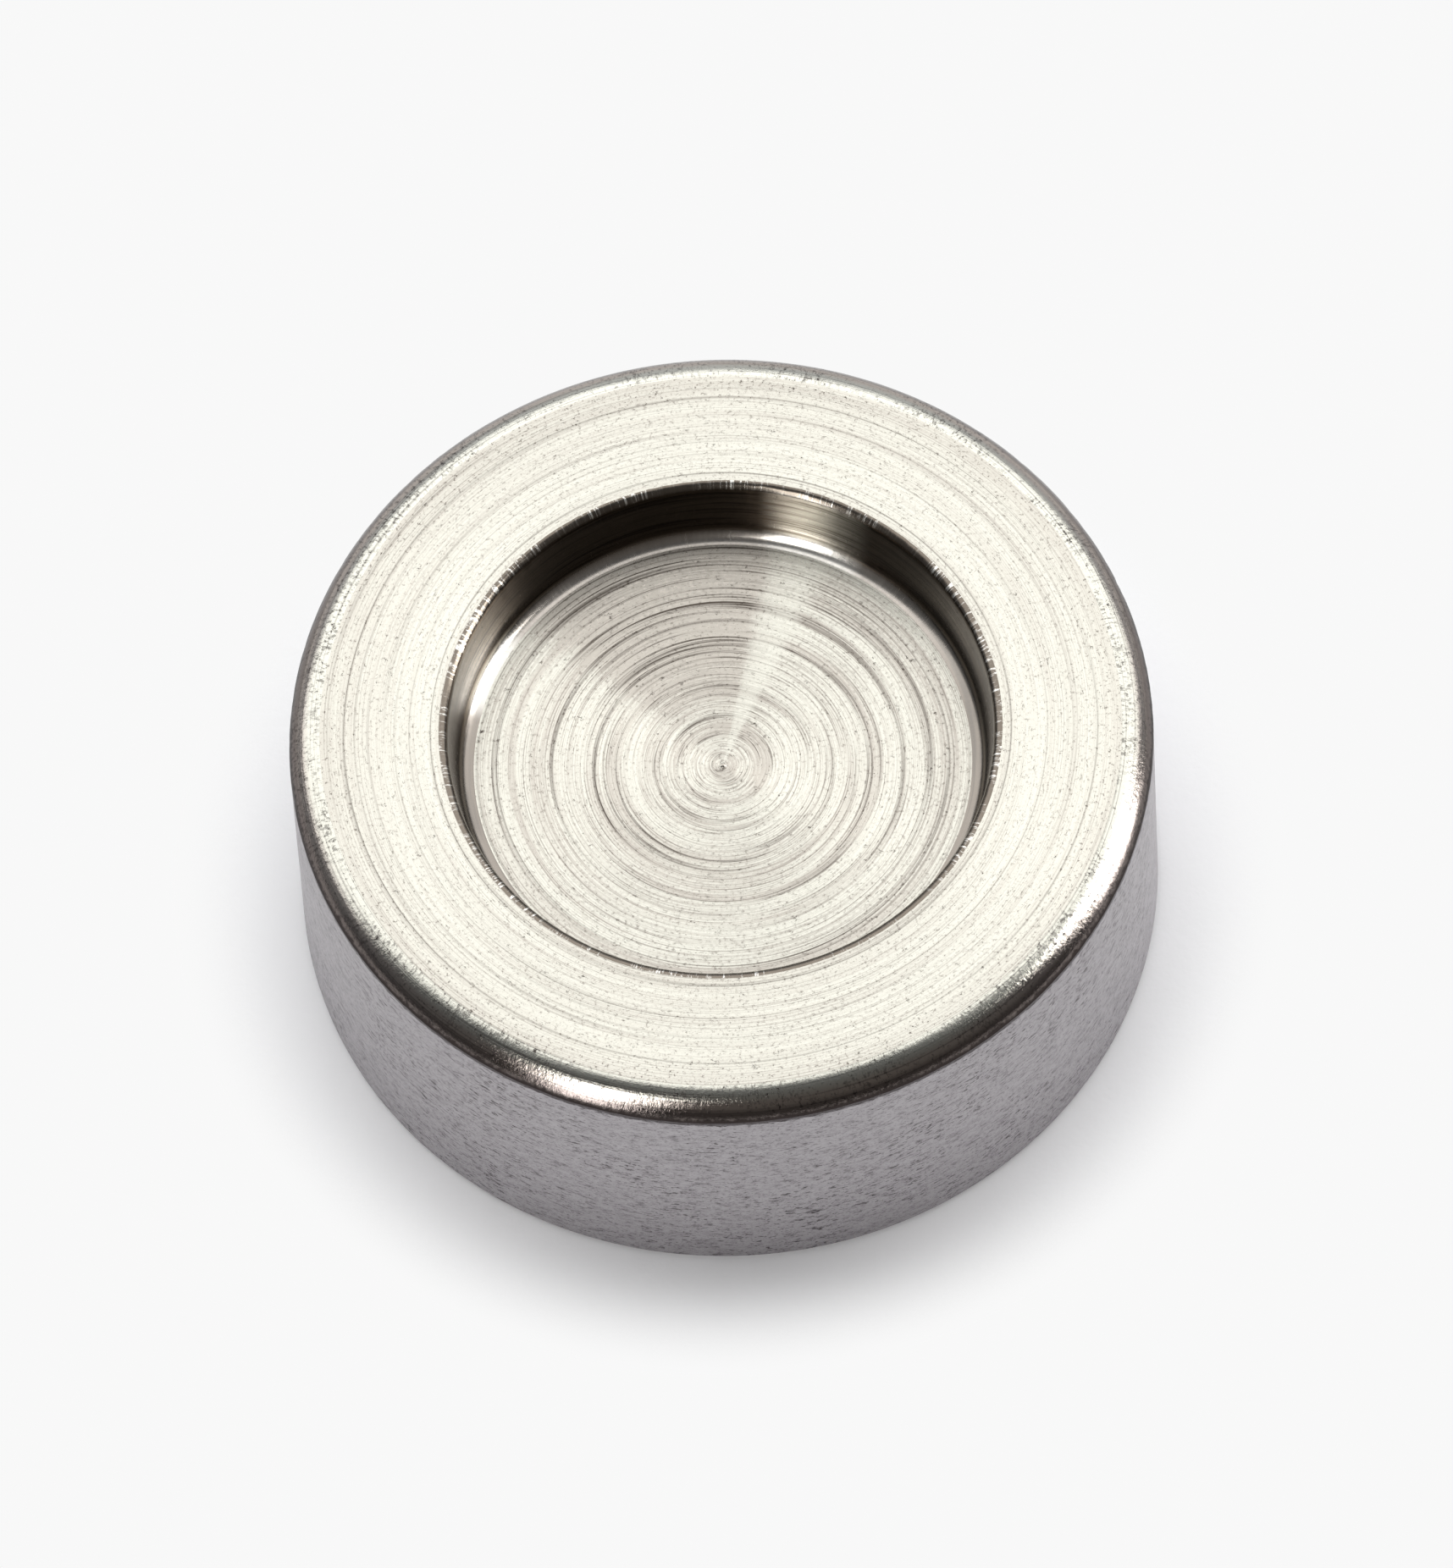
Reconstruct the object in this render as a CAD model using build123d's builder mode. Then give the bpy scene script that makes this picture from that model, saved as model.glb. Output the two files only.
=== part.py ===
"""Compact disc-type steam trap: a round puck that bolts on to a flat manifold face.

Steam and condensate come in at the centre of the underside, pass the strainer and the seat's centre
hole, lift the loose disc, and leave by the ring of holes around it. Millimetres, +Z up. The origin is
the centre of the underside.
"""

import os

from build123d import *

os.makedirs("parts", exist_ok=True)

# ---- cover: the turned puck that shows ----
cover_diameter = 50.0
cover_height = 18.5
skirt_wall = 2.4
foot_chamfer = 0.3
edge_round_width = 1.8
edge_round_drop = 1.3
dish_mouth_diameter = 32.6
dish_rim_width = 0.5
dish_rim_drop = 0.35
dish_floor_diameter = 30.6
dish_depth = 4.5
dish_corner_radius = 0.9

# ---- stack from the underside up to the cover's ceiling ----
base_floor = 4.1
seat_gasket_thickness = 0.5
seat_plate_thickness = 2.2
disc_thickness = 2.2
disc_travel = 0.8
stop_height = 0.4
cap_crown = 1.2
jacket_gap = 0.6
cap_flange_thickness = 1.2

# ---- valve: seat plate, disc and the cap over them ----
orifice_diameter = 4.5
inner_ring_width = 2.35
outlet_groove_width = 3.3
outlet_groove_depth = 1.1
outer_ring_width = 1.6
relief_depth = 0.4
outlet_hole_diameter = 2.4
outlet_hole_count = 6
disc_overhang = 0.6
disc_groove_width = 1.6
disc_groove_depth = 0.3
disc_chamfer = 0.35
chamber_clearance = 0.4
stop_diameter = 9.0
cap_wall = 1.6
jacket_side_gap = 0.6

# ---- base body: the plug inside the skirt ----
base_rim_width = 7.4
base_rim_height = 2.0
transfer_inner_diameter = 11.6
transfer_outer_diameter = 22.4
transfer_depth = 0.8
inlet_diameter = 8.0
inlet_chamfer = 0.2
passage_diameter = 6.0
outlet_channel_inner_diameter = 17.2
outlet_channel_outer_diameter = 22.4
outlet_channel_depth = 1.2
outlet_drill_diameter = 2.0

# ---- gaskets ----
face_gasket_thickness = 1.0
face_gasket_depth = 1.4
inlet_gasket_inner_diameter = 10.8
inlet_gasket_width = 2.0
outlet_gasket_inner_diameter = 24.8
outlet_gasket_width = 2.0
seat_gasket_inner_bore = 8.0
seat_gasket_inner_width = 1.5
seat_gasket_outer_bore = 23.2
cover_gasket_thickness = 0.4
gasket_side_gap = 0.2

# ---- strainer ----
screen_thickness = 0.4
screen_hole_diameter = 0.7
screen_hole_pitch = 1.15
screen_rings = 2
circlip_thickness = 0.6
circlip_grip = 0.4
circlip_band = 0.9
circlip_opening_angle = 40.0

# ---- fasteners, all in the middle of the base body's rim ----
cover_screw_count = 4
cover_screw_diameter = 3.0
cover_screw_length = 12.0
cover_screw_head_diameter = 5.6
cover_screw_head_angle = 90.0
cover_screw_socket_flats = 2.0
cover_screw_socket_depth = 1.1
thread_root_ratio = 0.82
mounting_hole_count = 4
mounting_thread_root_diameter = 4.2
mounting_hole_depth = 5.0
mounting_start_angle = 45.0

# ---- clearances ----
spigot_gap = 0.2
pocket_gap = 0.2
cap_fit_gap = 0.05
screw_gap = 0.2
screen_gap = 0.1
tip_clearance = 1.0
head_sink = 0.1

# ---- heights and radii that follow ----
cover_radius = cover_diameter / 2
skirt_bore_radius = cover_radius - skirt_wall
base_radius = skirt_bore_radius - spigot_gap
arris_height = cover_height - edge_round_drop
dish_floor_height = cover_height - dish_depth

seat_plate_bottom = base_floor + seat_gasket_thickness
seat_top = seat_plate_bottom + seat_plate_thickness
stop_level = seat_top + disc_thickness + disc_travel
chamber_ceiling = stop_level + stop_height
cap_top = chamber_ceiling + cap_crown
jacket_ceiling = cap_top + jacket_gap
cap_flange_top = seat_top + cap_flange_thickness
base_rim_top = base_floor + base_rim_height
clamp_level = base_rim_top + cover_gasket_thickness

orifice_radius = orifice_diameter / 2
inner_ring_radius = orifice_radius + inner_ring_width
groove_outer_radius = inner_ring_radius + outlet_groove_width
outer_ring_radius = groove_outer_radius + outer_ring_width
disc_radius = outer_ring_radius + disc_overhang
chamber_radius = disc_radius + chamber_clearance
cap_outer_radius = chamber_radius + cap_wall
jacket_radius = cap_outer_radius + jacket_side_gap
seat_pocket_radius = base_radius - base_rim_width
seat_plate_radius = seat_pocket_radius - pocket_gap
cap_flange_radius = seat_pocket_radius - cap_fit_gap
bolt_circle_radius = base_radius - base_rim_width / 2

screen_bottom = base_floor - transfer_depth - screen_thickness
circlip_bottom = screen_bottom - circlip_thickness
inlet_radius = inlet_diameter / 2
outlet_channel_middle = (outlet_channel_inner_diameter + outlet_channel_outer_diameter) / 4

underside = Plane(origin=(0, 0, 0), x_dir=(1, 0, 0), z_dir=(0, 0, -1))


def save(piece, name):
    """Label a finished piece and write it to its own file."""
    piece.part.label = name
    export_step(piece.part, f"parts/{name}.step")


def flat_ring(name, inner_radius, outer_radius, bottom, thickness):
    """A plain flat ring, such as a gasket that is cut from sheet or wound from strip."""
    with BuildPart() as ring:
        with BuildSketch(Plane.XY.offset(bottom)):
            Circle(outer_radius)
            Circle(inner_radius, mode=Mode.SUBTRACT)
        extrude(amount=thickness)
    save(ring, name)


# ---- cover: rounded top edge that ends in an arris, shallow dish, stepped bore below ----
with BuildPart() as cover:
    with BuildSketch(Plane.XZ):
        with BuildLine():
            Polyline(
                (0, dish_floor_height),
                (0, 0),
                (cover_radius - foot_chamfer, 0),
                (cover_radius, foot_chamfer),
                (cover_radius, arris_height),
            )
            TangentArc(
                (cover_radius - edge_round_width, cover_height),
                (cover_radius, arris_height),
                tangent=(1, 0),
            )
            Line(
                (cover_radius - edge_round_width, cover_height),
                (dish_mouth_diameter / 2, cover_height),
            )
            TangentArc(
                (dish_mouth_diameter / 2, cover_height),
                (dish_mouth_diameter / 2 - dish_rim_width, cover_height - dish_rim_drop),
                tangent=(-1, 0),
            )
            Polyline(
                (dish_mouth_diameter / 2 - dish_rim_width, cover_height - dish_rim_drop),
                (dish_floor_diameter / 2, dish_floor_height),
                (0, dish_floor_height),
            )
        make_face()
    revolve(axis=Axis.Z)
    dish_corner = cover.edges().filter_by_position(Axis.Z, dish_floor_height, dish_floor_height)
    fillet(dish_corner.filter_by(GeomType.CIRCLE), dish_corner_radius)
    with BuildSketch(Plane.XZ):
        with BuildLine():
            Polyline(
                (0, 0),
                (skirt_bore_radius, 0),
                (skirt_bore_radius, clamp_level),
                (seat_pocket_radius, clamp_level),
                (seat_pocket_radius, cap_flange_top),
                (jacket_radius, cap_flange_top),
                (jacket_radius, jacket_ceiling),
                (0, jacket_ceiling),
                close=True,
            )
        make_face()
    revolve(axis=Axis.Z, mode=Mode.SUBTRACT)
    with Locations(Plane(origin=(0, 0, clamp_level), x_dir=(1, 0, 0), z_dir=(0, 0, -1))):
        with PolarLocations(bolt_circle_radius, cover_screw_count):
            Hole(
                cover_screw_diameter * thread_root_ratio / 2 + screw_gap / 2,
                depth=cover_screw_length + head_sink + tip_clearance - clamp_level,
            )
save(cover, "cover")

# ---- inner cap: closes the control chamber, with an air space between it and the cover ----
with BuildPart() as inner_cap:
    with BuildSketch(Plane.XZ):
        with BuildLine():
            Polyline(
                (0, stop_level),
                (stop_diameter / 2, stop_level),
                (stop_diameter / 2, chamber_ceiling),
                (chamber_radius, chamber_ceiling),
                (chamber_radius, seat_top),
                (cap_flange_radius, seat_top),
                (cap_flange_radius, cap_flange_top),
                (cap_outer_radius, cap_flange_top),
                (cap_outer_radius, cap_top),
                (0, cap_top),
                close=True,
            )
        make_face()
    revolve(axis=Axis.Z)
    crown_edge = inner_cap.edges().filter_by_position(Axis.Z, cap_top, cap_top)
    fillet(crown_edge.filter_by(GeomType.CIRCLE), cap_crown / 2)
save(inner_cap, "inner_cap")

# ---- valve disc: loose, lapped underneath, with one groove in the lapped face ----
with BuildPart() as valve_disc:
    with BuildSketch(Plane.XY.offset(seat_top)):
        Circle(disc_radius)
    extrude(amount=disc_thickness)
    chamfer(valve_disc.edges().group_by(Axis.Z)[-1], disc_chamfer)
    groove_middle = (inner_ring_radius + groove_outer_radius) / 2
    with BuildSketch(Plane.XY.offset(seat_top)):
        Circle(groove_middle + disc_groove_width / 2)
        Circle(groove_middle - disc_groove_width / 2, mode=Mode.SUBTRACT)
    extrude(amount=disc_groove_depth, mode=Mode.SUBTRACT)
save(valve_disc, "valve_disc")

# ---- seat plate: two lapped seat rings with the outlet groove between them ----
with BuildPart() as seat_plate:
    with BuildSketch(Plane.XY.offset(seat_plate_bottom)):
        Circle(seat_plate_radius)
        Circle(orifice_radius, mode=Mode.SUBTRACT)
    extrude(amount=seat_plate_thickness)
    for inner_radius, outer_radius, depth in (
        (inner_ring_radius, groove_outer_radius, outlet_groove_depth),
        (outer_ring_radius, chamber_radius, relief_depth),
    ):
        with BuildSketch(Plane.XY.offset(seat_top)):
            Circle(outer_radius)
            Circle(inner_radius, mode=Mode.SUBTRACT)
        extrude(amount=-depth, mode=Mode.SUBTRACT)
    with Locations(Plane.XY.offset(seat_top)):
        with PolarLocations((inner_ring_radius + groove_outer_radius) / 2, outlet_hole_count):
            Hole(outlet_hole_diameter / 2)
save(seat_plate, "seat_plate")

# ---- base body: seat pocket on top, inlet, outlet channel and gasket grooves underneath ----
with BuildPart() as base_body:
    with BuildSketch(Plane.XY):
        Circle(base_radius)
    extrude(amount=base_rim_top)
    with BuildSketch(Plane.XY.offset(base_rim_top)):
        Circle(seat_pocket_radius)
    extrude(amount=-base_rim_height, mode=Mode.SUBTRACT)
    for cut_plane, inner_diameter, outer_diameter, depth in (
        (Plane.XY.offset(base_floor), transfer_inner_diameter, transfer_outer_diameter, transfer_depth),
        (underside, outlet_channel_inner_diameter, outlet_channel_outer_diameter, outlet_channel_depth),
        (
            underside,
            inlet_gasket_inner_diameter - 2 * gasket_side_gap,
            inlet_gasket_inner_diameter + 2 * (inlet_gasket_width + gasket_side_gap),
            face_gasket_depth,
        ),
        (
            underside,
            outlet_gasket_inner_diameter - 2 * gasket_side_gap,
            outlet_gasket_inner_diameter + 2 * (outlet_gasket_width + gasket_side_gap),
            face_gasket_depth,
        ),
    ):
        with BuildSketch(cut_plane):
            Circle(outer_diameter / 2)
            Circle(inner_diameter / 2, mode=Mode.SUBTRACT)
        extrude(amount=-depth, mode=Mode.SUBTRACT)
    with Locations(underside):
        Hole(passage_diameter / 2)
        Hole(inlet_radius, depth=screen_bottom + screen_thickness)
    with BuildSketch(Plane.XY.offset(circlip_bottom)):
        Circle(inlet_radius + circlip_grip)
    extrude(amount=circlip_thickness, mode=Mode.SUBTRACT)
    with Locations(underside):
        with PolarLocations(outlet_channel_middle, outlet_hole_count):
            Hole(outlet_drill_diameter / 2)
        with PolarLocations(bolt_circle_radius, mounting_hole_count, start_angle=mounting_start_angle):
            Hole(mounting_thread_root_diameter / 2, depth=mounting_hole_depth)
        with PolarLocations(bolt_circle_radius, cover_screw_count):
            CounterSinkHole(
                cover_screw_diameter / 2 + screw_gap,
                cover_screw_head_diameter / 2 + screw_gap,
                counter_sink_angle=cover_screw_head_angle,
            )
    inlet_mouth = base_body.edges().filter_by_position(Axis.Z, 0, 0).filter_by(GeomType.CIRCLE)
    chamfer(inlet_mouth.sort_by(SortBy.RADIUS)[0], inlet_chamfer)
save(base_body, "base_body")

# ---- gaskets: two under the seat plate, one under the cover, two in the underside's grooves ----
flat_ring(
    "seat_inner_gasket",
    seat_gasket_inner_bore / 2,
    seat_gasket_inner_bore / 2 + seat_gasket_inner_width,
    base_floor,
    seat_gasket_thickness,
)
flat_ring(
    "seat_outer_gasket",
    seat_gasket_outer_bore / 2,
    seat_plate_radius,
    base_floor,
    seat_gasket_thickness,
)
for name, inner_diameter, width in (
    ("inlet_gasket", inlet_gasket_inner_diameter, inlet_gasket_width),
    ("outlet_gasket", outlet_gasket_inner_diameter, outlet_gasket_width),
):
    flat_ring(
        name,
        inner_diameter / 2,
        inner_diameter / 2 + width,
        face_gasket_depth - face_gasket_thickness,
        face_gasket_thickness,
    )

with BuildPart() as cover_gasket:
    with BuildSketch(Plane.XY.offset(base_rim_top)):
        Circle(base_radius - gasket_side_gap)
        Circle(seat_pocket_radius + gasket_side_gap, mode=Mode.SUBTRACT)
        with PolarLocations(bolt_circle_radius, cover_screw_count):
            Circle(cover_screw_diameter / 2 + screw_gap, mode=Mode.SUBTRACT)
    extrude(amount=cover_gasket_thickness)
save(cover_gasket, "cover_gasket")

# ---- strainer: a perforated disc against the inlet's shoulder, held by an open spring ring ----
with BuildPart() as strainer_screen:
    with BuildSketch(Plane.XY.offset(screen_bottom)):
        Circle(inlet_radius - screen_gap)
        Circle(screen_hole_diameter / 2, mode=Mode.SUBTRACT)
        for ring_number in range(1, screen_rings + 1):
            with PolarLocations(ring_number * screen_hole_pitch, 6 * ring_number):
                Circle(screen_hole_diameter / 2, mode=Mode.SUBTRACT)
    extrude(amount=screen_thickness)
save(strainer_screen, "strainer_screen")

with BuildPart() as screen_retaining_ring:
    with BuildSketch(Plane.XY.offset(circlip_bottom)):
        circlip_outer_radius = inlet_radius + circlip_grip - screen_gap
        with BuildLine():
            outer_arc = CenterArc(
                (0, 0),
                circlip_outer_radius,
                circlip_opening_angle / 2,
                360 - circlip_opening_angle,
            )
            inner_arc = CenterArc(
                (0, 0),
                circlip_outer_radius - circlip_band,
                circlip_opening_angle / 2,
                360 - circlip_opening_angle,
            )
            Line(outer_arc @ 0, inner_arc @ 0)
            Line(outer_arc @ 1, inner_arc @ 1)
        make_face()
    extrude(amount=circlip_thickness)
save(screen_retaining_ring, "screen_retaining_ring")

# ---- cover screws: countersunk, driven up from the underside into the cover ----
screw_radius = cover_screw_diameter / 2
screw_root_radius = screw_radius * thread_root_ratio
head_radius = cover_screw_head_diameter / 2
head_height = head_radius - screw_root_radius
with BuildPart() as cover_screws:
    with PolarLocations(bolt_circle_radius, cover_screw_count):
        with Locations((0, 0, head_sink)):
            Cone(
                head_radius,
                screw_root_radius,
                head_height,
                align=(Align.CENTER, Align.CENTER, Align.MIN),
            )
            Cylinder(
                screw_root_radius,
                cover_screw_length,
                align=(Align.CENTER, Align.CENTER, Align.MIN),
            )
    with BuildSketch(Plane.XY.offset(head_sink)):
        with PolarLocations(bolt_circle_radius, cover_screw_count):
            RegularPolygon(cover_screw_socket_flats / 2, 6, major_radius=False)
    extrude(amount=cover_screw_socket_depth, mode=Mode.SUBTRACT)
save(cover_screws, "cover_screws")
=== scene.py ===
from math import atan2, cos, pi, radians, sin

import bmesh
import bpy
import numpy as np
from mathutils import Matrix, Vector, noise


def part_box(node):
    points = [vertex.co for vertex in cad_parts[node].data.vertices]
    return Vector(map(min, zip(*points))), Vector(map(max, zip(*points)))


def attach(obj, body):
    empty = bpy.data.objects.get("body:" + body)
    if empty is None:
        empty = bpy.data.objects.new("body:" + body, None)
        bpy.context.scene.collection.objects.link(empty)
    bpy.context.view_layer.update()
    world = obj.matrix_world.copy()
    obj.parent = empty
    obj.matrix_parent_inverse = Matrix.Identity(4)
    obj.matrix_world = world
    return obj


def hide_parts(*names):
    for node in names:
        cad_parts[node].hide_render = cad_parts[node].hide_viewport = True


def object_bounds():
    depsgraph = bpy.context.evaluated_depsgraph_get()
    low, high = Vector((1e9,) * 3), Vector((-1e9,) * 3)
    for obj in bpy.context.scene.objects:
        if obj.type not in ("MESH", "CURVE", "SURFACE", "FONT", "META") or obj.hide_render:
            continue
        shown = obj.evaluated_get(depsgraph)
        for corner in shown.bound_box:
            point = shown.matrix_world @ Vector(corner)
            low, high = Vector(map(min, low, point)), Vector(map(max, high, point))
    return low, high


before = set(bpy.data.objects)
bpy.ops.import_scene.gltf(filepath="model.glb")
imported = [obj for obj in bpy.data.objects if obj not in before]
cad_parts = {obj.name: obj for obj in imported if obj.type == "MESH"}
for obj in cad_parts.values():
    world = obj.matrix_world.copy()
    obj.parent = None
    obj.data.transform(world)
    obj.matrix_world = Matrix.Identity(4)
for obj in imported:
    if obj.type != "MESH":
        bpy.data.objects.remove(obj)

cad_low, cad_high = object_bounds()
MM = 0.001

# ---------------------------------------------------------------------------------------------
# Base body: the stainless plug that carries everything and bolts to the manifold. It is turned
# from bar, then drilled for the flow, the cover screws and the mounting screws, and deburred.
# ---------------------------------------------------------------------------------------------


class Reading:
    """A socket of a node tree. Arithmetic on it adds Math nodes."""

    def __init__(self, tree, socket):
        self.tree = tree
        self.socket = socket

    def math(self, operation, first, second):
        node = self.tree.nodes.new("ShaderNodeMath")
        node.operation = operation
        wire(self.tree, node.inputs[0], first)
        wire(self.tree, node.inputs[1], second)
        return Reading(self.tree, node.outputs[0])

    def __add__(self, other):
        return self.math("ADD", self, other)

    def __radd__(self, other):
        return self.math("ADD", other, self)

    def __sub__(self, other):
        return self.math("SUBTRACT", self, other)

    def __rsub__(self, other):
        return self.math("SUBTRACT", other, self)

    def __mul__(self, other):
        return self.math("MULTIPLY", self, other)

    def __rmul__(self, other):
        return self.math("MULTIPLY", other, self)

    def __truediv__(self, other):
        return self.math("DIVIDE", self, other)

    def __rtruediv__(self, other):
        return self.math("DIVIDE", other, self)

    def __pow__(self, other):
        return self.math("POWER", self, other)

    def most(self, limit):
        return self.math("MINIMUM", self, limit)

    def least(self, limit):
        return self.math("MAXIMUM", self, limit)

    def between(self, start, end):
        """0 at start and before, 1 at end and past it, smooth on the way, in either direction."""
        node = self.tree.nodes.new("ShaderNodeMapRange")
        node.interpolation_type = "SMOOTHSTEP"
        wire(self.tree, node.inputs["Value"], self)
        node.inputs["From Min"].default_value = start
        node.inputs["From Max"].default_value = end
        return Reading(self.tree, node.outputs["Result"])


def wire(tree, socket, value):
    """Links a reading to a socket, or sets the socket to a plain value."""
    if isinstance(value, Reading):
        tree.links.new(value.socket, socket)
    else:
        socket.default_value = value


class Finish:
    """The node tree of one finish. On turned work it knows where the tool went."""

    def __init__(self, name):
        self.material = bpy.data.materials.new(name)
        self.material.use_nodes = True
        self.tree = self.material.node_tree
        self.tree.nodes.clear()
        self.output = self.tree.nodes.new("ShaderNodeOutputMaterial")
        place = self.node("ShaderNodeTexCoord", output="Object")
        self.place = self.node(
            "ShaderNodeVectorMath", {"operation": "SCALE"}, {"Vector": place, "Scale": 1 / MM}
        )
        x, y, self.height = (
            self.node("ShaderNodeSeparateXYZ", values={0: self.place}, output=axis) for axis in "XYZ"
        )
        self.radius = (x * x + y * y + 1e-6) ** 0.5
        self.across = x / self.radius
        self.along = y / self.radius

    def node(self, kind, settings=None, values=None, output=0):
        """Any node: its settings first, then its sockets' values or links."""
        node = self.tree.nodes.new(kind)
        for name, value in (settings or {}).items():
            setattr(node, name, value)
        for name, value in (values or {}).items():
            wire(self.tree, node.inputs[name], value)
        return Reading(self.tree, node.outputs[output])

    def cloud(self, vector, scale, detail=2.0, rough=0.5):
        values = {"Vector": vector, "Scale": scale, "Detail": detail, "Roughness": rough}
        return self.node("ShaderNodeTexNoise", values=values)

    def rings(self, path, pitch, breaks, detail=2.0, rough=0.5):
        """Noise in rings about the axis, a pitch apart along the tool's path, broken into arcs."""
        vector = self.node(
            "ShaderNodeCombineXYZ",
            values={"X": path / pitch, "Y": self.across * breaks, "Z": self.along * breaks},
        )
        return self.cloud(vector, 1.0, detail, rough)

    def specks(self, vector, scale, size):
        """Small round spots, each in its own cell."""
        values = {"Vector": vector, "Scale": scale}
        return self.node("ShaderNodeTexVoronoi", values=values).between(size, size * 0.6)

    def tint(self, factor, colour, other):
        """A colour mixed from two colours, or from an earlier tint and a colour."""
        colour, other = ((*c, 1) if isinstance(c, tuple) else c for c in (colour, other))
        return self.node(
            "ShaderNodeMix", {"data_type": "RGBA"}, {0: factor, 6: colour, 7: other}, output=2
        )

    def bump(self, relief, depth):
        """Relief of about 0 to 1, as deep as depth in millimetres."""
        values = {"Strength": 1.0, "Distance": depth * MM, "Height": relief}
        return self.node("ShaderNodeBump", values=values)

    def metal(self, colour, roughness, normal, anisotropy=0.0):
        shader = self.node(
            "ShaderNodeBsdfPrincipled",
            values={
                "Base Color": colour,
                "Metallic": 1.0,
                "Roughness": roughness,
                "Anisotropic": anisotropy,
                "Anisotropic Rotation": 0.25,
                "Normal": normal,
            },
        )
        return self.surface(shader)

    def surface(self, shader):
        self.tree.links.new(shader.socket, self.output.inputs["Surface"])
        return self.material


def bar_steel(name, colour, soil, roughness, anisotropy, ring_depth=0.003, wear=0.5):
    """Machined bar: feed rings about the axis, darker lines in them, fine pits and handling."""
    finish = Finish(name)
    path = finish.radius + finish.height
    fine = finish.rings(path, 0.12, 2.0, 3.0, 0.6)
    bold = finish.rings(path, 0.5, 0.9, 3.0, 0.65)
    pits = finish.specks(finish.place, 0.9, 0.11) * finish.cloud(finish.place, 0.4).between(0.45, 0.6)
    smears = finish.cloud(finish.place, 0.22, 4.0, 0.6)
    marks = fine.between(0.55, 0.72) * 0.5 + bold.between(0.55, 0.75) * 0.3 + pits * 0.6
    marks = (marks * wear + smears.between(0.5, 0.75) * wear * 0.3).most(1.0)
    relief = finish.bump(fine * 0.5 + bold - pits * 0.5, ring_depth)
    gloss = roughness + (smears - 0.5) * 0.25 + (fine - 0.5) * 0.12
    return finish.metal(finish.tint(marks, colour, soil), gloss.least(0.08), relief, anisotropy)


def give_finish(node_name, material):
    """The piece keeps its own mesh and takes this finish all over."""
    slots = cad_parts[node_name].data.materials
    slots.clear()
    slots.append(material)


give_finish(
    "base_body",
    bar_steel("satin_body_steel", (0.60, 0.595, 0.57), (0.16, 0.14, 0.125), 0.32, 0.5, 0.004, 0.6),
)

# ---------------------------------------------------------------------------------------------
# Strainer: a disc of thin stainless sheet, etched through with round holes. The etch leaves
# it slightly frosted, with faint darker clouds.
# ---------------------------------------------------------------------------------------------
etched = Finish("etched_sheet_steel")
frost = etched.cloud(etched.place, 6.0, 4.0, 0.7)
stain = etched.cloud(etched.place, 0.9, 2.0)
give_finish(
    "strainer_screen",
    etched.metal(
        etched.tint(stain.between(0.4, 0.75) * 0.6, (0.62, 0.61, 0.58), (0.30, 0.27, 0.22)),
        0.36 + (frost - 0.5) * 0.3,
        etched.bump(frost, 0.006),
    ),
)

# ---------------------------------------------------------------------------------------------
# Screen retaining ring: round spring steel strip, bent open, oil-blackened. The black has
# rubbed off along its corners where it was squeezed into its groove.
# ---------------------------------------------------------------------------------------------
blackened = Finish("blackened_spring_steel")
mottle = blackened.cloud(blackened.place, 2.4, 3.0, 0.6)
ring_inside = 3.4
ring_outside = 4.3
rub_width = 0.08
wall_rub = blackened.radius.between(ring_outside - rub_width, ring_outside)
wall_rub = wall_rub + blackened.radius.between(ring_inside + rub_width, ring_inside)
rub = (wall_rub * mottle.between(0.42, 0.6) + mottle.between(0.66, 0.74) * 0.5).most(1.0)
give_finish(
    "screen_retaining_ring",
    blackened.metal(
        blackened.tint(rub, (0.055, 0.055, 0.062), (0.45, 0.43, 0.40)),
        0.42 - rub * 0.14 + (mottle - 0.5) * 0.2,
        blackened.bump(mottle, 0.004),
    ),
)

# ---------------------------------------------------------------------------------------------
# Seat gaskets and port gaskets: rings of V-shaped steel strip wound in a spiral with graphite
# between the turns, so each face shows fine bright rings in black.
# ---------------------------------------------------------------------------------------------
wound = Finish("spiral_wound_strip")
turn_pitch = 0.25
phase = wound.node(
    "ShaderNodeMath", {"operation": "FRACT"}, {0: wound.radius / turn_pitch + wound.height * 0.2}
)
strip = phase.between(0.16, 0.26) * phase.between(0.7, 0.6)
flake = wound.cloud(wound.place, 9.0, 3.0, 0.7)
wound_shader = wound.node(
    "ShaderNodeBsdfPrincipled",
    values={
        "Base Color": wound.tint(strip, (0.035, 0.035, 0.038), (0.55, 0.54, 0.52)),
        "Metallic": strip * 0.75 + 0.25,
        "Roughness": 0.62 - strip * 0.3 + (flake - 0.5) * 0.2,
        "Normal": wound.bump(strip + flake * 0.4, 0.02),
    },
)
spiral_wound = wound.surface(wound_shader)
for wound_gasket in ("seat_inner_gasket", "seat_outer_gasket", "inlet_gasket", "outlet_gasket"):
    give_finish(wound_gasket, spiral_wound)

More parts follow.
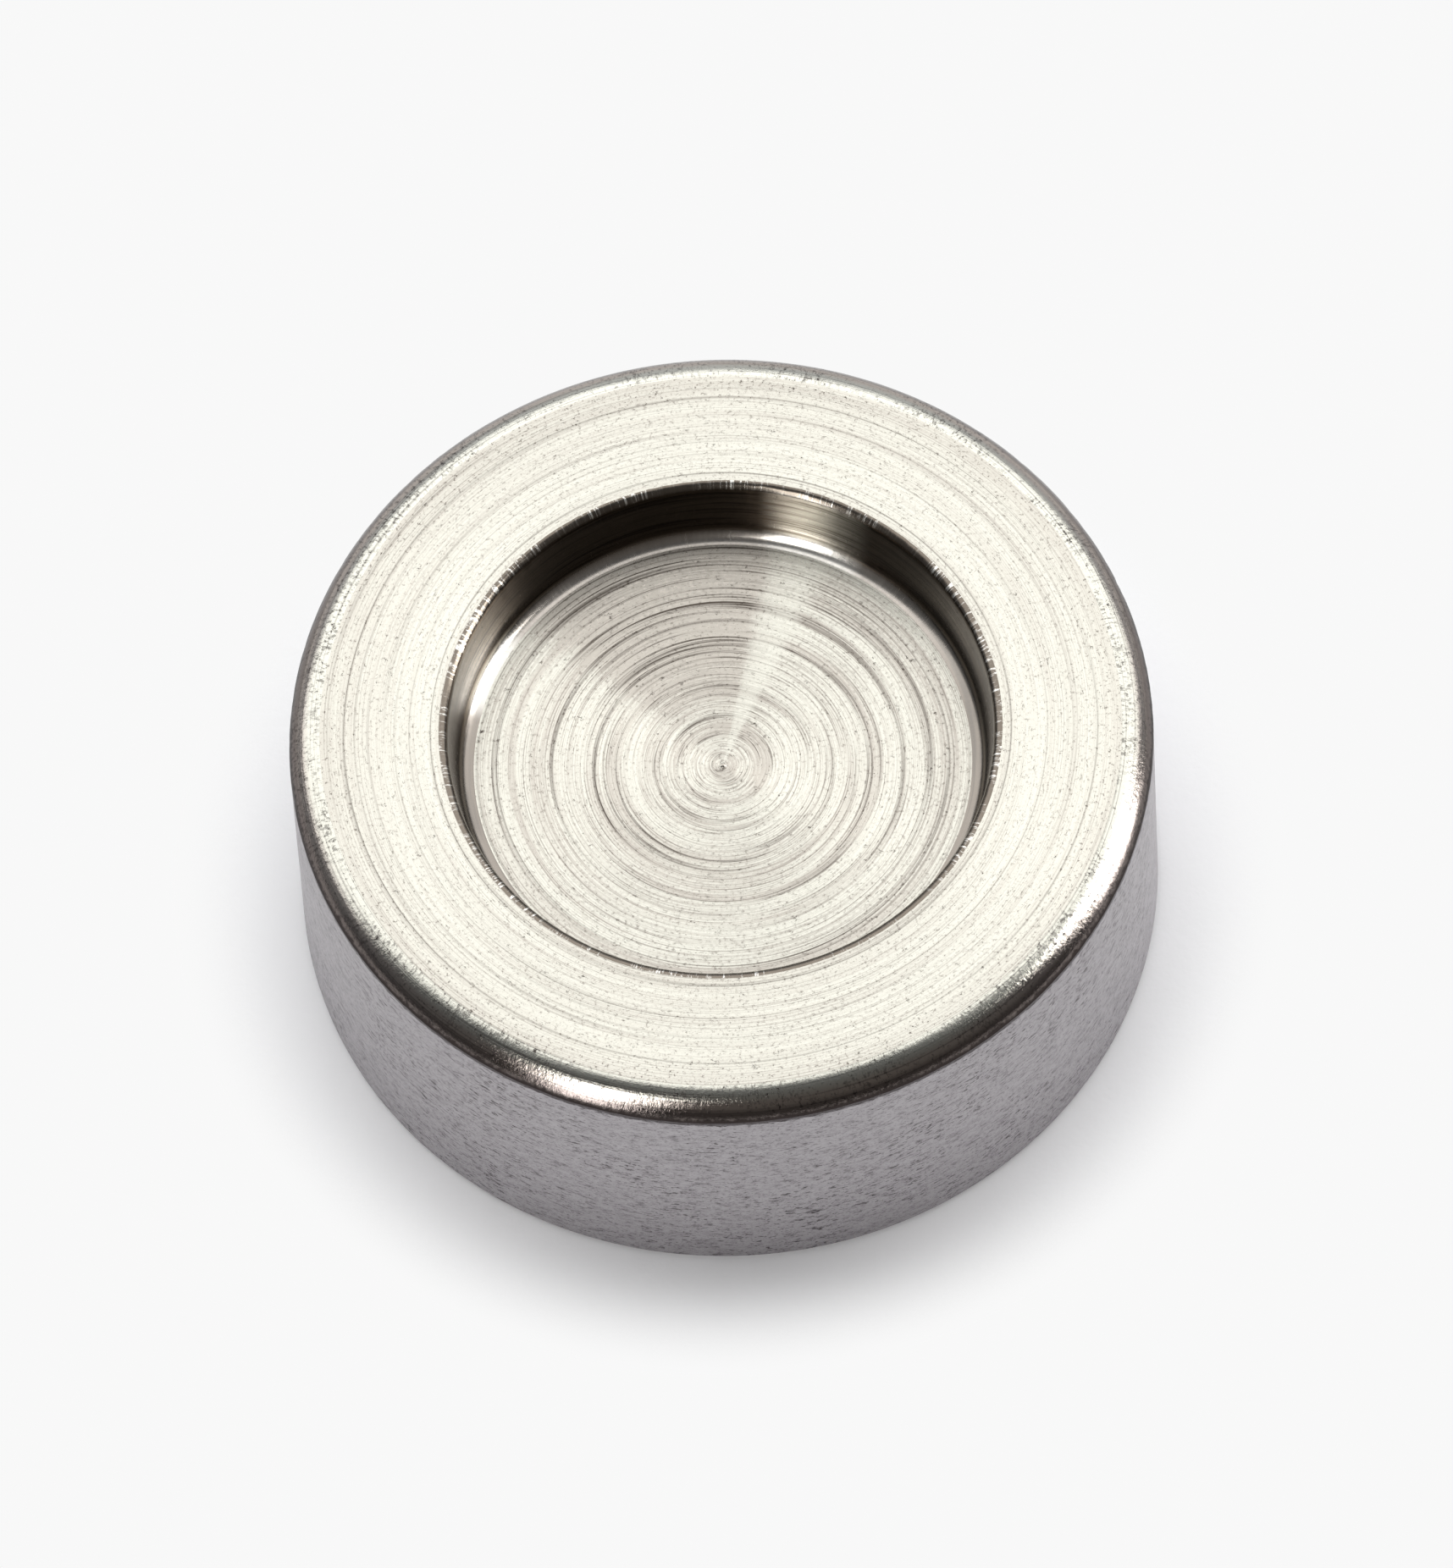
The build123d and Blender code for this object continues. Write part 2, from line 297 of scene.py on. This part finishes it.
# ---------------------------------------------------------------------------------------------
# Seat plate: hardened stainless with a faint straw tint from the oven. Its top is lapped to
# a near mirror where the disc seats, and stays ground elsewhere.
# ---------------------------------------------------------------------------------------------
hardened = Finish("lapped_seat_steel")
_, seat_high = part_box("seat_plate")
seat_top = seat_high.z / MM
lapped_reach = 10.2
inner_seat = 4.2
outer_seat = 9.4
top_face = hardened.height.between(seat_top - 0.06, seat_top - 0.03)
lapped = top_face * hardened.radius.between(lapped_reach + 0.4, lapped_reach)
ground = hardened.rings(hardened.radius + hardened.height, 0.09, 3.0, 3.0, 0.6)
lap_stroke = hardened.cloud(hardened.place, 5.0, 4.0, 0.75)
oven_tint = hardened.cloud(hardened.place, 0.16, 2.0).between(0.35, 0.7)
between_seats = hardened.radius.between(inner_seat, inner_seat + 1.4)
between_seats = between_seats * hardened.radius.between(outer_seat, outer_seat - 1.8)
wet_trace = between_seats * lap_stroke
seat_soil = (ground.between(0.56, 0.7) * 0.35 + wet_trace * 0.3).most(1.0)
body_tone = hardened.tint(oven_tint * 0.7, (0.56, 0.56, 0.56), (0.50, 0.43, 0.32))
give_finish(
    "seat_plate",
    hardened.metal(
        hardened.tint(seat_soil, body_tone, (0.15, 0.13, 0.12)),
        (0.34 - lapped * 0.2 + (lap_stroke - 0.5) * 0.14).least(0.07),
        hardened.bump(ground * (1 - lapped * 0.8) + lap_stroke * 0.25, 0.003),
        0.35,
    ),
)

# ---------------------------------------------------------------------------------------------
# Valve disc: the loose working piece, hardened, ground on its edge and lapped on both faces.
# Its faces carry crossed lapping strokes and the faint rings of its two seats.
# ---------------------------------------------------------------------------------------------
lapped_disc = Finish("lapped_disc_steel")
stroke_sets = []
for stroke_angle in (27, -38, 71):
    turned_place = lapped_disc.node(
        "ShaderNodeVectorRotate",
        {"rotation_type": "Z_AXIS"},
        {"Vector": lapped_disc.place, "Angle": radians(stroke_angle)},
    )
    stretched = lapped_disc.node(
        "ShaderNodeVectorMath",
        {"operation": "MULTIPLY"},
        {0: turned_place, 1: (0.35, 9.0, 1.0)},
    )
    stroke_sets.append(lapped_disc.cloud(stretched, 1.0, 2.0, 0.6))
strokes = (stroke_sets[0] + stroke_sets[1] + stroke_sets[2]) / 3
seat_print = lapped_disc.rings(lapped_disc.radius, 0.5, 0.7)
disc_marks = strokes.between(0.5, 0.66) * 0.4 + seat_print.between(0.58, 0.7) * 0.25
give_finish(
    "valve_disc",
    lapped_disc.metal(
        lapped_disc.tint(disc_marks.most(1.0), (0.56, 0.57, 0.59), (0.20, 0.20, 0.21)),
        (0.17 + (strokes - 0.5) * 0.3).least(0.07),
        lapped_disc.bump(strokes + seat_print * 0.3, 0.0025),
    ),
)

# ---------------------------------------------------------------------------------------------
# Inner cap: a thin turned cap that closes the chamber over the disc. It is pressed into the
# cover by its flange and comes away with it.
# ---------------------------------------------------------------------------------------------
give_finish(
    "inner_cap",
    bar_steel("fine_turned_cap_steel", (0.64, 0.635, 0.61), (0.17, 0.15, 0.13), 0.24, 0.6, 0.0025, 0.45),
)

# ---------------------------------------------------------------------------------------------
# Cover gasket: a flat ring cut from flexible graphite sheet, dull and slightly silvery, with
# the pressed grain of the sheet.
# ---------------------------------------------------------------------------------------------
graphite = Finish("flexible_graphite")
sheet_grain = graphite.cloud(graphite.place, 3.2, 5.0, 0.7)
crease = graphite.cloud(graphite.place, 0.7, 3.0, 0.6)
glint = sheet_grain.between(0.56, 0.72)
graphite_shader = graphite.node(
    "ShaderNodeBsdfPrincipled",
    values={
        "Base Color": graphite.tint(glint, (0.045, 0.045, 0.05), (0.17, 0.17, 0.185)),
        "Metallic": glint * 0.6 + 0.2,
        "Roughness": 0.6 - glint * 0.22,
        "Normal": graphite.bump(sheet_grain + crease, 0.025),
    },
)
give_finish("cover_gasket", graphite.surface(graphite_shader))

# ---------------------------------------------------------------------------------------------
# Cover: one stainless puck, faced and dished on a lathe, then tumbled. It hides everything else.
# The tool leaves fine rings on the top and in the dish, a burr on the dish's rim and a crisp
# arris where the rounded edge meets the side.
# ---------------------------------------------------------------------------------------------


def swept_arc(start, end, heading, steps):
    """Points after start, up to end, on the arc that leaves start along heading."""
    start, end, heading = Vector(start), Vector(end), Vector(heading).normalized()
    chord = end - start
    side = Vector((-heading.y, heading.x))
    middle = start + side * chord.length_squared / (2 * chord.dot(side))
    first = start - middle
    turn = 2 * atan2(heading.x * chord.y - heading.y * chord.x, heading.dot(chord))
    return [tuple(middle + Matrix.Rotation(turn * i / steps, 2) @ first) for i in range(1, steps + 1)]


def stepped(start, end, step):
    """Points after start, up to end, on a straight run, about a step apart."""
    count = max(1, round((Vector(end) - Vector(start)).length / step))
    return [tuple(Vector(start).lerp(Vector(end), i / count)) for i in range(1, count + 1)]


def turn_on_lathe(name, runs, segments, relief):
    """A mesh turned from runs of (radius, height) points in millimetres, each run with the place
    of its finish. The first and last points lie on the axis, and metal is on the left."""
    outline = [point for points, _ in runs for point in points]
    finishes = [place for points, place in runs for _ in points]
    rows = outline[1:-1]
    angles = [2 * pi * i / segments for i in range(segments)]
    points = []
    for radius, height in rows:
        for angle in angles:
            outward, up = relief(radius, height, angle)
            reach = (radius + outward) * MM
            points.append((reach * cos(angle), reach * sin(angle), (height + up) * MM))
    points += [(0, 0, outline[0][1] * MM), (0, 0, outline[-1][1] * MM)]
    start, end, last = len(points) - 2, len(points) - 1, (len(rows) - 1) * segments
    faces = []
    for near in range(0, last, segments):
        for i in range(segments):
            after = (i + 1) % segments
            faces.append((near + i, near + segments + i, near + segments + after, near + after))
    faces += [(start, i, (i + 1) % segments) for i in range(segments)]
    faces += [(end, last + (i + 1) % segments, last + i) for i in range(segments)]
    mesh = bpy.data.meshes.new(name)
    mesh.from_pydata(points, [], faces)
    row_finishes = np.repeat(finishes[2:-1] + [finishes[1], finishes[-1]], segments)
    mesh.polygons.foreach_set("material_index", row_finishes.astype("int32"))
    piece = bpy.data.objects.new(name, mesh)
    bpy.context.scene.collection.objects.link(piece)
    return piece


_, cover_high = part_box("cover")
cover_radius = cover_high.x / MM
cover_top = cover_high.z / MM
arris_height = cover_top - 1.3
edge_round_start = cover_radius - 1.8
edge_heading = (cos(radians(6)), -sin(radians(6)))
dish_mouth = 16.3
dish_rim = 15.8
dish_floor = cover_top - 4.5
dish_floor_edge = 14.45
wall_foot = (15.36, dish_floor + 0.85)
wall_top = (dish_rim, cover_top - 0.35)
foot_chamfer = 0.3
skirt_bore = cover_radius - 2.4
clamp_level = 6.5
cap_bore = 15.0
cap_shoulder = 8.0
jacket_bore = 12.7
jacket_ceiling = 12.0
screw_circle = 18.7
tapped_radius = 1.33
tapped_top = 13.1
tool_step = 0.17

rim_arc = list(reversed(swept_arc((dish_mouth, cover_top), wall_top, (-1, 0), 6)[:-1]))
FACE, ROUNDING, WALL, SIDE, INSIDE = range(5)
cover_runs = [
    ([(0.0, dish_floor)] + stepped((0.0, dish_floor), (dish_floor_edge, dish_floor), tool_step), FACE),
    (swept_arc((dish_floor_edge, dish_floor), wall_foot, (1, 0), 10), WALL),
    (stepped(wall_foot, wall_top, 0.3) + rim_arc + [(dish_mouth, cover_top)], WALL),
    (stepped((dish_mouth, cover_top), (edge_round_start, cover_top), tool_step), FACE),
    (swept_arc((edge_round_start, cover_top), (cover_radius, arris_height), edge_heading, 18), ROUNDING),
    (stepped((cover_radius, arris_height), (cover_radius, foot_chamfer), 0.9), SIDE),
    ([(cover_radius - foot_chamfer, 0.0)], SIDE),
    (
        [
            (skirt_bore + 0.15, 0.0),
            (skirt_bore, 0.15),
            (skirt_bore, clamp_level),
            (cap_bore, clamp_level),
            (cap_bore, cap_shoulder),
            (jacket_bore, cap_shoulder),
            (jacket_bore, jacket_ceiling),
            (0.0, jacket_ceiling),
        ],
        INSIDE,
    ),
]


burr_size = 0.05
nick_depth = 0.035
floor_hollow = 0.1


def near_ring(value, ring, width):
    """1 on a ring, falling to 0 a width away from it."""
    return max(0.0, 1 - abs(value - ring) / width)


def cover_marks(radius, height, angle):
    """Ring relief from the tool, a ragged burr on the dish's rim and a slightly uneven arris."""
    outward = 0.0
    up = 0.0
    on_floor = abs(height - dish_floor) < 0.02 and radius < dish_floor_edge + 0.1
    on_top = height > cover_top - 0.02
    if on_floor or on_top:
        ripple = noise.noise(Vector((radius * 2.2, cos(angle) * 0.7, sin(angle) * 0.7)))
        up -= 0.004 * (ripple + 0.5)
    if on_floor:
        up += floor_hollow * ((radius / dish_floor_edge) ** 2 - 1)
    if height > dish_floor + 2 and radius < dish_mouth + 0.2:
        burr = noise.noise(Vector((cos(angle) * 34, sin(angle) * 34, 3.1)))
        burr *= near_ring(radius, dish_mouth - 0.25, 0.4)
        up += burr_size * burr if burr > 0 else 0.6 * burr_size * burr
        outward += burr_size * burr
    if radius > cover_radius - 0.3:
        nick = noise.noise(Vector((cos(angle) * 46, sin(angle) * 46, 8.4)))
        outward -= nick_depth * near_ring(height, arris_height, 0.25) * max(0.0, nick)
    return outward, min(up, cover_top - height)


cover_piece = turn_on_lathe("turned_cover", cover_runs, 400, cover_marks)

BRIGHT = (0.54, 0.528, 0.464)
GREY = (0.40, 0.37, 0.325)
SOIL = (0.07, 0.058, 0.048)

# Radius and strength of the single deeper tool lines.
stray_cuts = ((13.15, 0.5), (13.4, 0.35), (14.3, 0.4), (16.8, 0.55), (18.9, 0.2), (21.8, 0.4))


def facing(finish, turn):
    """1 on the side that lies so many degrees from the back (+Y) towards +X, -1 opposite it."""
    return finish.along * cos(radians(turn)) + finish.across * sin(radians(turn))


def faced_steel(name):
    """The flat top and the dish's floor: rings in every width, dark arcs, nicks and dust, with a painted
    dark fan and a painted bright wedge in the dish, set by direction.
    """
    finish = Finish(name)
    in_dish = finish.radius.between(dish_rim + 0.3, dish_rim - 0.1)
    at_edge = finish.radius.between(edge_round_start - 2.4, edge_round_start)
    drift = finish.cloud(finish.place, 0.06, 1.0)
    path = finish.radius + (drift - 0.5) * 0.15
    hairs = finish.rings(path, 0.075, 0.9, 2.0, 0.6)
    lines = finish.rings(path + 40, 0.17, 0.5, 3.0, 0.6)
    bands = finish.rings(path + 90, 1.0, 0.3, 4.0, 0.65)
    patches = finish.cloud(finish.place, 0.28, 3.0, 0.6)
    centre = finish.radius.between(4.0, 0.6)
    feed = path.math("SINE", path * (2 * pi / 0.25), 0.0)
    flecks = finish.rings(path + 20, 0.11, finish.radius * 2.6, 3.0, 0.65)
    dents = finish.cloud(finish.place, 4.6, 4.0, 0.7)
    nicks = finish.cloud(finish.place, 2.1, 5.0, 0.75).between(0.635, 0.69)
    # Painted shade: a dark fan over the middle of the dish floor, set by direction.
    painted_dark_fan = facing(finish, -13).between(0.78, 0.92) * finish.radius.between(2.0, 8.0) * in_dish
    # Painted highlight: a narrow bright wedge in the dish, set by direction, which lightens the marks
    # there.
    painted_bright_wedge = facing(finish, 21).between(0.985, 0.999) * in_dish
    dark_arcs = lines.between(0.54, 0.64) * bands.between(0.4, 0.6)
    scored = 0
    for ring, strength in stray_cuts:
        line = finish.radius.between(ring - 0.09, ring) * finish.radius.between(ring + 0.09, ring)
        scored = line * strength * hairs.between(0.3, 0.5) + scored
    grey = bands.between(0.42, 0.66) * 0.7 + hairs.between(0.42, 0.62) * 0.6
    grey = grey * (0.5 + in_dish * 0.5) + feed.between(0.2, 1.0) * centre * 0.7
    grey = grey + painted_dark_fan * 0.95 + dents.between(0.5, 0.62) * 0.35 + at_edge * patches * 0.5
    grey = grey * (1 - painted_bright_wedge * 0.7)
    dark = hairs.between(0.56, 0.68) * 0.4 + dark_arcs * 0.6 + painted_dark_fan * lines.between(0.5, 0.6) * 0.4
    dark = dark * (0.45 + in_dish * 0.55) * (1 - painted_bright_wedge * 0.6) + flecks.between(0.6, 0.68) * 0.5
    dark = dark + scored + nicks * 0.6 + dents.between(0.58, 0.68) * (0.4 + at_edge * 0.4)
    tone = finish.tint(dark.most(1.0), finish.tint(grey.most(1.0), BRIGHT, GREY), SOIL)
    relief = hairs * 0.4 + lines * 0.8 + bands * 1.2 + feed * centre * 0.3
    relief = relief + dents * (0.5 + at_edge * 1.5) - nicks
    gloss = 0.24 + (dents - 0.5) * 0.2 + (hairs - 0.5) * 0.15 + in_dish * 0.06
    return finish.metal(tone, gloss.least(0.1), finish.bump(relief, 0.006), 0.8)


def rolled_edge(name):
    """The rounded top edge: smoother, peened by tumbling, its colour painted from bright at the top to
    dark near the arris as painted shade, with a painted dark band at the arris.
    """
    finish = Finish(name)
    path = finish.radius - finish.height
    depth = finish.height.between(cover_top - 0.01, arris_height + 0.3)
    around = finish.rings(path, 0.45, 120.0, 3.0, 0.7)
    dents = finish.cloud(finish.place, 4.0, 4.0, 0.75)
    patches = finish.rings(path, 3.0, 4.0, 2.0)
    lines = finish.rings(path, 0.14, 1.0, 2.0, 0.6)
    ragged = finish.rings(path, 0.8, 60.0, 3.0, 0.7)
    # Painted shade: a ragged dark band at the foot of the rounding, just above the arris.
    arris = (finish.height + ragged * 0.5).between(arris_height + 0.6, arris_height + 0.35)
    strokes = around.between(0.5, 0.62) * patches.between(0.35, 0.6)
    dark = lines.between(0.52, 0.66) * 0.4 + strokes * 0.6 + dents.between(0.56, 0.66) * 0.6 + arris
    # Painted shade: the colour darkens from bright at the top to nearly black towards the arris.
    body = finish.tint(depth.between(0.0, 0.4), BRIGHT, (0.39, 0.345, 0.31))
    body = finish.tint(depth.between(0.45, 0.95) * 0.85, body, (0.12, 0.10, 0.095))
    tone = finish.tint(dark.most(1.0), body, (0.04, 0.032, 0.03))
    relief = lines * 0.2 + around * 0.6 + dents * 0.9
    gloss = 0.18 - depth.between(0.0, 0.2) * 0.09 + (dents - 0.5) * 0.2 + strokes * 0.12
    return finish.metal(tone, gloss.least(0.05), finish.bump(relief, 0.015), 0.1)


def dark_brown_wall(name):
    """The dish's wall and corner: bored in one pass, dark brown all over, with painted glints on the
    wall, the corner and the rim's burr, and a painted sheen on the corner, paler on the far side.
    """
    finish = Finish(name)
    path = finish.height - finish.radius * 0.7
    chatter = finish.rings(path, 0.16, 1.5, 3.0, 0.6)
    streaks = finish.rings(path, 0.4, 80.0, 4.0, 0.75)
    worn = finish.rings(path, 2.0, 5.0, 2.0, 0.6)
    on_rim = finish.height.between(cover_top - 0.34, cover_top - 0.12)
    on_corner = finish.height.between(dish_floor + 0.65, dish_floor + 0.1)
    # Painted highlights: narrow glints on the wall and its corner, set by direction.
    painted_wall_glint = facing(finish, 24).between(0.972, 0.996)
    painted_corner_glints = facing(finish, -62).between(0.975, 0.995) + painted_wall_glint
    # Dark brown all over, darker in the chatter.
    body = finish.tint(chatter.between(0.45, 0.65), (0.085, 0.067, 0.051), (0.025, 0.018, 0.013))
    body = finish.tint(painted_wall_glint * chatter.between(0.25, 0.65) * 0.85, body, (0.46, 0.44, 0.40))
    # Painted sheen: the corner is painted paler, more on the far side.
    far_side = finish.along.between(0.1, 0.8)
    body = finish.tint(on_corner * (0.3 + far_side * 0.35), body, (0.55, 0.51, 0.46))
    body = finish.tint(on_corner * painted_corner_glints * 0.7, body, (0.70, 0.68, 0.63))
    # Painted glints: bright streaks along the rim's burr.
    burr = on_rim * streaks.between(0.52, 0.64) * worn.between(0.4, 0.55)
    body = finish.tint(on_rim, body, (0.15, 0.128, 0.105))
    body = finish.tint(burr, body, (0.75, 0.73, 0.68))
    relief = chatter * 0.6 + streaks * 0.5
    gloss = 0.2 + (streaks - 0.5) * 0.25 + chatter * 0.06
    return finish.metal(body, gloss.least(0.1), finish.bump(relief, 0.006), 0.3)


def tumbled_side(name):
    """The upright side: matte from tumbling, with short dark flecks that run round it; its steel is
    coloured darker than the top as painted shade, with a painted dark line along the arris.
    """
    finish = Finish(name)
    flecks = finish.rings(finish.height, 0.14, 44.0, 3.0, 0.65)
    blots = finish.rings(finish.height + 60, 0.4, 26.0, 4.0, 0.7)
    grain = finish.rings(finish.height, 0.1, 130.0, 2.0, 0.6)
    patches = finish.cloud(finish.place, 0.16, 3.0, 0.6)
    nicks = finish.cloud(finish.place, 2.4, 5.0, 0.75).between(0.64, 0.69)
    # Painted shade: a dark line along the top of the side at the arris, ragged with the flecks.
    arris = (finish.height + flecks * 0.6).between(arris_height - 0.1, arris_height + 0.1)
    dark = flecks.between(0.57, 0.62) * (0.4 + patches.between(0.4, 0.62) * 0.5)
    dark = dark + nicks * 0.75 + blots.between(0.58, 0.66) * 0.35 + grain.between(0.57, 0.64) * 0.35
    # Painted shade: the side's steel is coloured darker than the faced top.
    pale = finish.tint(blots.between(0.35, 0.65), (0.42, 0.40, 0.415), (0.355, 0.335, 0.35))
    tone = finish.tint((dark + arris * 0.9).most(1.0), pale, (0.06, 0.05, 0.052))
    gloss = 0.42 + (grain - 0.5) * 0.2 + (patches - 0.5) * 0.12
    return finish.metal(tone, gloss.least(0.2), finish.bump(grain * 0.6 + flecks + blots, 0.005), 0.2)


for cover_finish in (
    faced_steel("faced_steel"),
    rolled_edge("rolled_edge_steel"),
    dark_brown_wall("dish_wall_steel"),
    tumbled_side("tumbled_side_steel"),
    bar_steel("bored_inside_steel", (0.58, 0.57, 0.54), (0.15, 0.13, 0.11), 0.34, 0.4, 0.005, 0.7),
):
    cover_piece.data.materials.append(cover_finish)


def drill(piece, radius, circle, count, low, high, finish_place):
    """Cuts round blind holes, evenly spaced on a circle, up into a piece from below."""
    cutter_mesh = bpy.data.meshes.new("drill")
    points = []
    faces = []
    sides = 40
    for hole in range(count):
        first = len(points)
        middle = 2 * pi * hole / count
        for level in (low, high):
            for i in range(sides):
                angle = 2 * pi * i / sides
                x = circle * cos(middle) + radius * cos(angle)
                y = circle * sin(middle) + radius * sin(angle)
                points.append((x * MM, y * MM, level * MM))
        for i in range(sides):
            after = (i + 1) % sides
            faces.append((first + i, first + after, first + sides + after, first + sides + i))
        faces.append(tuple(first + i for i in reversed(range(sides))))
        faces.append(tuple(first + sides + i for i in range(sides)))
    cutter_mesh.from_pydata(points, [], faces)
    for place in range(finish_place + 1):
        cutter_mesh.materials.append(piece.data.materials[place])
    cutter_mesh.polygons.foreach_set("material_index", [finish_place] * len(faces))
    cutter = bpy.data.objects.new("drill", cutter_mesh)
    bpy.context.scene.collection.objects.link(cutter)
    cut = piece.modifiers.new("drilled", "BOOLEAN")
    cut.operation = "DIFFERENCE"
    cut.solver = "MANIFOLD"
    cut.object = cutter
    drilled = bpy.data.meshes.new_from_object(
        piece.evaluated_get(bpy.context.evaluated_depsgraph_get())
    )
    piece.modifiers.clear()
    piece.data = drilled
    bpy.data.objects.remove(cutter)


drill(cover_piece, tapped_radius, screw_circle, 4, clamp_level - 1, tapped_top, INSIDE)
cover_piece.data.validate()
cover_piece.data.shade_smooth()
cover_piece.data.set_sharp_from_angle(angle=radians(22))
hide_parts("cover")
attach(cover_piece, "cover")

# ---------------------------------------------------------------------------------------------
# Cover screws: four countersunk socket screws from the underside into the cover. Stainless,
# turned on the head and left bright.
# ---------------------------------------------------------------------------------------------
screw_steel = Finish("bright_screw_steel")
machined = screw_steel.cloud(screw_steel.place, 7.0, 3.0, 0.6)
thread_lines = screw_steel.rings(screw_steel.height, 0.2, 8.0, 2.0)
stain = screw_steel.cloud(screw_steel.place, 1.1, 2.0)
give_finish(
    "cover_screws",
    screw_steel.metal(
        screw_steel.tint(stain.between(0.5, 0.75) * 0.5, (0.64, 0.635, 0.615), (0.27, 0.25, 0.22)),
        0.22 + (machined - 0.5) * 0.25,
        screw_steel.bump(machined * 0.5 + thread_lines, 0.004),
    ),
)

# ---------------------------------------------------------------------------------------------
# Studio: a white paper floor, a large soft box behind and above, a tall strip on each side for
# the metal, a front fill for the paper, and a tent of drapes, dark in front and paler behind.
# The paper is clear from below. Under the piece only the camera sees it, so the underside is lit.
# ---------------------------------------------------------------------------------------------
stage_white = (0.94, 0.94, 0.94)


def shown_rays(finish):
    """1 for a ray that shows the background itself or its image in metal or glass."""
    seen = finish.node("ShaderNodeLightPath", output="Is Camera Ray")
    for kind_of_ray in ("Is Glossy Ray", "Is Transmission Ray"):
        seen = seen.least(finish.node("ShaderNodeLightPath", output=kind_of_ray))
    return seen


paper = Finish("floor_paper")
fibres = paper.cloud(paper.place, 1.5, 3.0, 0.6)
lit_paper = paper.node(
    "ShaderNodeBsdfDiffuse", values={"Color": (*stage_white, 1), "Normal": paper.bump(fibres, 0.03)}
)
white_paper = paper.node("ShaderNodeEmission", values={"Color": (*stage_white, 1)})
clear = paper.node("ShaderNodeBsdfTransparent")
far_away = paper.radius.between(cover_radius * 1.02, cover_radius * 1.3)
paper_above = paper.node(
    "ShaderNodeMixShader", values={0: shown_rays(paper) * far_away, 1: lit_paper, 2: white_paper}
)
from_below = paper.node("ShaderNodeNewGeometry", output="Backfacing")
under_piece = paper.radius.between(cover_radius - 1.0, cover_radius - 1.3)
not_camera = 1 - paper.node("ShaderNodeLightPath", output="Is Camera Ray")
clear_part = from_below.least(not_camera * under_piece)
paper_shader = paper.node("ShaderNodeMixShader", values={0: clear_part, 1: paper_above, 2: clear})
floor_mesh = bpy.data.meshes.new("floor")
floor_reach = 3.0
floor_gap = 0.02
floor_mesh.from_pydata(
    [(x * floor_reach, y * floor_reach, 0) for x, y in ((-1, -1), (1, -1), (1, 1), (-1, 1))],
    [],
    [(0, 1, 2, 3)],
)
floor = bpy.data.objects.new("floor", floor_mesh)
floor.location.z = -floor_gap * MM
bpy.context.scene.collection.objects.link(floor)
floor_mesh.materials.append(paper.surface(paper_shader))

drape = Finish("tent_drape")
tent_place = drape.node("ShaderNodeTexCoord", output="Generated")
to_back = drape.node("ShaderNodeSeparateXYZ", values={0: tent_place}, output="Y")
glow = 0.15 + to_back.between(0.36, 0.76) * 0.3 + to_back.between(0.7, 1.0) * 0.4
drape_tint = drape.tint(to_back.between(0.1, 0.5), (1.0, 0.94, 0.90), (0.92, 0.95, 1.0))
drape_shader = drape.node("ShaderNodeEmission", values={"Color": drape_tint, "Strength": glow})
tent_reach = 2.6
tent_mesh = bpy.data.meshes.new("tent")
tent_frame = bmesh.new()
bmesh.ops.create_uvsphere(tent_frame, u_segments=48, v_segments=24, radius=tent_reach)
tent_frame.to_mesh(tent_mesh)
tent_frame.free()
tent = bpy.data.objects.new("tent", tent_mesh)
tent_mesh.materials.append(drape.surface(drape_shader))
tent.visible_camera = False
tent.visible_shadow = False
bpy.context.scene.collection.objects.link(tent)

world = bpy.data.worlds.new("studio")
bpy.context.scene.world = world
world.use_nodes = True
world.node_tree.nodes["Background"].inputs["Color"].default_value = (*stage_white, 1)


def soft_box(name, radiance, width, depth, place, paper_only=False, metal_only=False):
    """A rectangular lamp that faces the object."""
    data = bpy.data.lights.new(name, "AREA")
    data.shape = "RECTANGLE"
    data.size = width
    data.size_y = depth
    data.energy = radiance * pi * width * depth
    lamp = bpy.data.objects.new(name, data)
    lamp.location = place
    lamp.visible_diffuse = not metal_only
    lamp.visible_glossy = not paper_only
    lamp.rotation_euler = (middle - place).to_track_quat("-Z", "Y").to_euler()
    bpy.context.scene.collection.objects.link(lamp)


middle = Vector((0, 0, cad_high.z / 2))


def towards(azimuth, elevation, distance):
    """A place that far from the object, azimuth 0 behind it (+Y), counted towards +X."""
    a, e = radians(azimuth), radians(elevation)
    return middle + distance * Vector((sin(a) * cos(e), cos(a) * cos(e), sin(e)))


soft_box("back_box", 1.6, 3.0, 0.98, towards(0, 55, 0.9))
soft_box("left_box", 9.0, 0.19, 0.9, towards(-148, 29, 0.9), metal_only=True)
soft_box("right_box", 9.5, 0.28, 0.84, towards(87, 27, 0.9), metal_only=True)
soft_box("front_fill", 0.78, 2.8, 0.7, towards(180, 45, 0.9), paper_only=True)

# ---------------------------------------------------------------------------------------------
# Camera: a very long lens, well above the puck, rolled a few degrees.
# ---------------------------------------------------------------------------------------------
view_height = radians(62.13)
view_roll = radians(-3.75)
view_distance = 54.013 * cover_radius * MM
view_target = Vector((0.0052, 0, 0.4613)) * cover_radius * MM
camera_data = bpy.data.cameras.new("camera")
camera_data.sensor_width = 36.0
camera_data.lens = 534.1238
camera_data.clip_start = 0.05
camera_data.clip_end = 20
camera = bpy.data.objects.new("camera", camera_data)
back = Vector((0, -cos(view_height), sin(view_height)))
aim = (-back).to_track_quat("-Z", "Y").to_matrix().to_4x4()
stand = Matrix.Translation(view_target + back * view_distance)
camera.matrix_world = stand @ aim @ Matrix.Rotation(view_roll, 4, "Z")
bpy.context.scene.collection.objects.link(camera)
bpy.context.scene.camera = camera
bpy.context.scene.view_settings.view_transform = "Standard"
